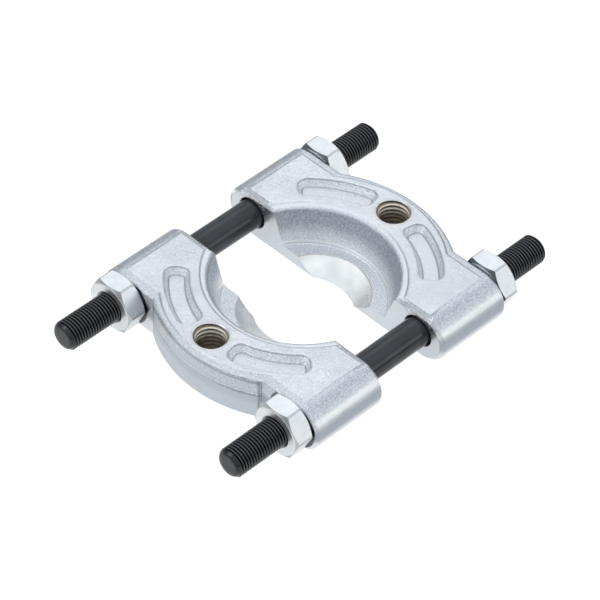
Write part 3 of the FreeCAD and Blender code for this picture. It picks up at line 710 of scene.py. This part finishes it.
def black_oxide():
    """Oiled black oxide on steel: charcoal on the plain bar, with rubbed crests."""
    material, finish, surface = new_material("black_oxide")
    place = finish.place()
    stretch = finish.node("ShaderNodeMapping", vector_type="POINT")
    finish.feed(stretch.inputs["Vector"], place)
    stretch.inputs["Scale"].default_value = DRAWING_STRETCH
    drawn = finish.noise(stretch.outputs[0], scale=1.4)
    smear = finish.noise(place, scale=0.12)
    reach = finish.read(STUD_REACH, place)["Reach"]
    along = finish.math("ABSOLUTE", finish.axes(place)[0])
    cut = finish.ramp(along, *THREAD_ENTRY)
    tip = finish.ramp(along, *TIP_ENTRY)
    crest = finish.any_of(tip, finish.ramp(reach, *RUBBED_CREST))
    finish.feed(surface["Base Color"], finish.coats(
        finish.mix(finish.ramp(smear, *SWING), OXIDE_BLACK, OXIDE_GREY),
        (cut, 1.0, finish.mix(crest, ROOT_BLACK, CREST_GREY)),
        (tip, 1.0, TIP_BLACK),
    ))
    surface["Specular IOR Level"].default_value = OILED_SPECULAR
    skin = finish.any_of(crest, finish.outside(cut))
    finish.feed(surface["Metallic"], finish.ramp(skin, 0.0, 1.0, ROOT_METAL, SKIN_METAL))
    rough = finish.ramp(drawn, *SWING, *SHANK_ROUGHNESS)
    finish.feed(surface["Roughness"], finish.math("MULTIPLY_ADD", cut, THREAD_ROUGHER, rough))
    finish.feed(surface["Normal"], finish.bump(drawn, distance=0.01, strength=0.4))
    return material


BLACK_OXIDE = black_oxide()
for name, offset in (("front_stud", -STUD_OFFSET), ("back_stud", STUD_OFFSET)):
    stud = threaded_stud(name + "_threaded", offset)
    stud.data.materials.append(BLACK_OXIDE)
    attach(stud, "studs")
    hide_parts(name)


# The nuts: cold-formed hexagons, bright zinc-plated, chamfered on both faces and countersunk into their
# thread. Each bears on a half's milled seat and turns on its stud.

NUT_FLATS = 24.0
NUT_FACE = 11.3
NUT_CHAMFER = math.tan(math.radians(30))
NUT_BORE = 7.02
NUT_ENTRY = 0.9
NUT_TURN = math.radians(27)
NUT_PAIRS_OF_FLATS = np.radians([0, 60, 120])
NUT_STEPS = 192
NUT_SHARPNESS = 70
NUT_SHARP_EDGE = math.radians(22)
NUT_CORNER = NUT_FLATS / math.sqrt(3) * 2 ** (-1 / NUT_SHARPNESS)
NUT_THICKNESS = (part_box("back_right_nut")[1].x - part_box("back_right_nut")[0].x) / MM
NUT_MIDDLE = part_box("back_right_nut")[0].x / MM + NUT_THICKNESS / 2 - JAW_MIDDLE

# The lines of painted shade along the edges, and the chamfer on the seat's side, darkened as painted shade
# of the gap at the seat.
CHAMFER_SKIN = (0.03, 0.10)
CHAMFER_START = (NUT_FACE, NUT_FACE + 0.2)
SEAT_SIDE = (NUT_MIDDLE - 1.0, NUT_MIDDLE)
ARC_LINE = (0.0, 0.06, 0.16)
ARC_START = (NUT_FACE + 0.4, NUT_FACE + 0.6)
CORNER_LINE = (NUT_CORNER - 0.30, NUT_CORNER - 0.12)
ZINC_ROUGHNESS = (0.36, 0.48)

ZINC = (0.74, 0.77, 0.79, 1)
ZINC_LIGHT = (0.80, 0.82, 0.84, 1)
EDGE_SHADE_GREY = (0.30, 0.33, 0.35, 1)
NUT_CHAMFER_SHADE = (0.10, 0.11, 0.12, 1)


def hexagon_nut(name, start, stop, offset):
    """A hexagon nut as a ring of radial sections.

    The hexagon's radius at an angle is half the flats over a soft largest of the cosines to the three pairs
    of flats, which rounds the corners. Each section goes from the bore over the countersink and the flat
    ring, up the chamfer's cone to the hexagon, and back the same way on the other face.
    """
    turn = np.arange(NUT_STEPS) * 2 * math.pi / NUT_STEPS
    towards = np.abs(np.cos(turn[:, None] - NUT_TURN - NUT_PAIRS_OF_FLATS[None, :]))
    hexagon = NUT_FLATS / 2 * (towards ** NUT_SHARPNESS).sum(axis=1) ** (-1 / NUT_SHARPNESS)
    whole = np.ones(NUT_STEPS)
    drop = (hexagon - NUT_FACE) * NUT_CHAMFER
    near_half = [
        (whole * NUT_BORE, whole * NUT_ENTRY),
        (whole * (NUT_BORE + NUT_ENTRY), whole * 0),
        (whole * NUT_FACE, whole * 0),
        (hexagon, drop),
    ]
    sections = near_half + [(radius, stop - start - depth) for radius, depth in reversed(near_half)]
    radius = np.stack([item[0] for item in sections], axis=1)
    along = start + np.stack([item[1] for item in sections], axis=1)
    points = np.stack([
        along,
        offset + radius * np.cos(turn)[:, None],
        STUD_HEIGHT + radius * np.sin(turn)[:, None],
    ], axis=-1)
    numbers = np.arange(radius.size).reshape(radius.shape)
    numbers = np.concatenate([numbers, numbers[:, :1]], axis=1)
    return closed_piece(name, points, ring_faces(numbers), NUT_SHARP_EDGE)


def bright_zinc():
    """Bright zinc over a cold-formed surface: nearly white, with faint marks, and painted shade along the
    edges and on the chamfer facing the seat.
    """
    material, finish, surface = new_material("bright_zinc")
    place = finish.place()
    reach = finish.read(STUD_REACH, place)["Reach"]
    across = finish.apart(finish.axes(place)[0], JAW_MIDDLE)
    to_face = finish.math("SUBTRACT", NUT_THICKNESS / 2, finish.apart(across, NUT_MIDDLE))
    cone = finish.math("MULTIPLY", finish.math("SUBTRACT", reach, NUT_FACE), NUT_CHAMFER)
    off_cone = finish.math("SUBTRACT", to_face, cone)
    seat_chamfer_shade = finish.all_of(
        finish.fade(off_cone, *CHAMFER_SKIN),
        finish.ramp(reach, *CHAMFER_START),
        finish.fade(across, *SEAT_SIDE),
    )
    arc = finish.all_of(finish.band(off_cone, *ARC_LINE), finish.ramp(reach, *ARC_START))
    painted_edge_shade = finish.any_of(arc, finish.ramp(reach, *CORNER_LINE))
    clouds = finish.noise(place, scale=0.25, detail=4.0)
    marks = finish.noise(place, scale=1.1, detail=2.0, roughness=0.7)
    finish.feed(surface["Base Color"], finish.coats(
        finish.mix(finish.ramp(clouds, *SWING), ZINC, ZINC_LIGHT),
        (painted_edge_shade, 0.55, EDGE_SHADE_GREY),
        (seat_chamfer_shade, 0.85, NUT_CHAMFER_SHADE),
    ))
    surface["Metallic"].default_value = 1.0
    finish.feed(surface["Roughness"], finish.ramp(marks, *SWING, *ZINC_ROUGHNESS))
    finish.feed(surface["Normal"], finish.bump(marks, distance=0.06, strength=0.4))
    return material


BRIGHT_ZINC = bright_zinc()
for side in ("right", "left"):
    for row, offset in (("front", -STUD_OFFSET), ("back", STUD_OFFSET)):
        name = row + "_" + side + "_nut"
        low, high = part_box(name)
        nut = hexagon_nut(name + "_bright", low.x / MM, high.x / MM, offset)
        nut.data.materials.append(BRIGHT_ZINC)
        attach(nut, name)
        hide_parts(name)


# The studio: a plain white floor under the part and large soft lamps round it, as for a picture in a
# catalogue. Lengths here are in metres. The floor lies a hair below the part, so the two don't flicker.

FLOOR_REACH = 3.0
FLOOR_DROP = -0.0002
PAPER = (0.22, 0.22, 0.22, 1)
PAPER_SEEN = 0.92
POOL_OF_LIGHT = (0.10, 0.26)
POOL_STRENGTH = (0.85, 0.04)
SKY = (0.92, 0.96, 1.0, 1)
SKY_RISE = (0.0, 0.8)
SKY_STRENGTH = (0.22, 1.18)


def white_floor():
    """Matt paper that glows pure white to the camera, and glows as a pool of light round the part that
    lights it from below, less the further out it lies.
    """
    material, finish, surface = new_material("white_floor")
    surface["Base Color"].default_value = PAPER
    surface["Roughness"].default_value = 1.0
    surface["Specular IOR Level"].default_value = 0.0
    surface["Emission Color"].default_value = (1, 1, 1, 1)
    seen = finish.math("MULTIPLY", finish.node("ShaderNodeLightPath").outputs["Is Camera Ray"], PAPER_SEEN)
    reach = finish.node("ShaderNodeVectorMath", operation="LENGTH")
    finish.feed(reach.inputs[0], finish.node("ShaderNodeTexCoord").outputs["Object"])
    pool = finish.ramp(reach.outputs["Value"], *POOL_OF_LIGHT, *POOL_STRENGTH)
    finish.feed(surface["Emission Strength"], finish.any_of(seen, pool))
    return material


floor_mesh = bpy.data.meshes.new("floor")
floor_mesh.from_pydata(
    [(x * FLOOR_REACH, y * FLOOR_REACH, FLOOR_DROP) for x, y in ((-1, -1), (1, -1), (1, 1), (-1, 1))],
    [], [(0, 1, 2, 3)])
floor = bpy.data.objects.new("floor", floor_mesh)
floor.data.materials.append(white_floor())
bpy.context.scene.collection.objects.link(floor)


def studio_world():
    """An even studio: pale overhead and greyer towards the horizon."""
    world = bpy.data.worlds.new("studio")
    world.use_nodes = True
    finish = Finish(world.node_tree)
    rise = finish.axes(finish.node("ShaderNodeTexCoord").outputs["Generated"])[2]
    background = world.node_tree.nodes["Background"].inputs
    background["Color"].default_value = SKY
    finish.feed(background["Strength"], finish.ramp(rise, *SKY_RISE, *SKY_STRENGTH))
    return world


bpy.context.scene.world = studio_world()


def panel(name, place, width, height, power):
    """A soft lamp that faces the part."""
    lamp = bpy.data.lights.new(name, "AREA")
    lamp.shape = "RECTANGLE"
    lamp.size = width
    lamp.size_y = height
    lamp.energy = power
    made = bpy.data.objects.new(name, lamp)
    made.location = place
    made.rotation_euler = (-Vector(place)).to_track_quat("-Z", "Y").to_euler()
    bpy.context.scene.collection.objects.link(made)


panel("behind", (0.70, 0.70, 1.15), width=0.7, height=0.5, power=0.5)
panel("left", (-1.1, 0.5, 0.55), width=0.4, height=0.4, power=2.0)
panel("right", (0.60, -1.00, 0.30), width=0.9, height=0.4, power=1.4)
panel("far", (0.85, 0.95, 0.30), width=0.9, height=0.4, power=0.6)

bpy.context.scene.view_settings.view_transform = "Standard"


# The camera stands where the photograph was taken from, found by fitting the part's edges to it: its
# direction and distance from the point that it looks at, its roll, and its lens on a 36 mm wide sensor.

AZIMUTH = math.radians(-44.92)
ELEVATION = math.radians(44.66)
ROLL = math.radians(0.65)
DISTANCE = 1491.0
TARGET = Vector((-4.37, -2.80, 12.5))
LENS = 205.74
SENSOR = 36
FAR_CLIP = 20

back = Vector((
    math.sin(AZIMUTH) * math.cos(ELEVATION),
    -math.cos(AZIMUTH) * math.cos(ELEVATION),
    math.sin(ELEVATION),
))
right = (-back).cross(Vector((0, 0, 1))).normalized()
up = right.cross(-back)
right, up = right * math.cos(ROLL) + up * math.sin(ROLL), up * math.cos(ROLL) - right * math.sin(ROLL)
camera = bpy.data.objects.new("camera", bpy.data.cameras.new("camera"))
camera.data.lens = LENS
camera.data.sensor_width = SENSOR
camera.data.clip_end = FAR_CLIP
camera.rotation_euler = Matrix((right, up, back)).transposed().to_euler()
camera.location = (TARGET + back * DISTANCE) * MM
bpy.context.scene.collection.objects.link(camera)
bpy.context.scene.camera = camera
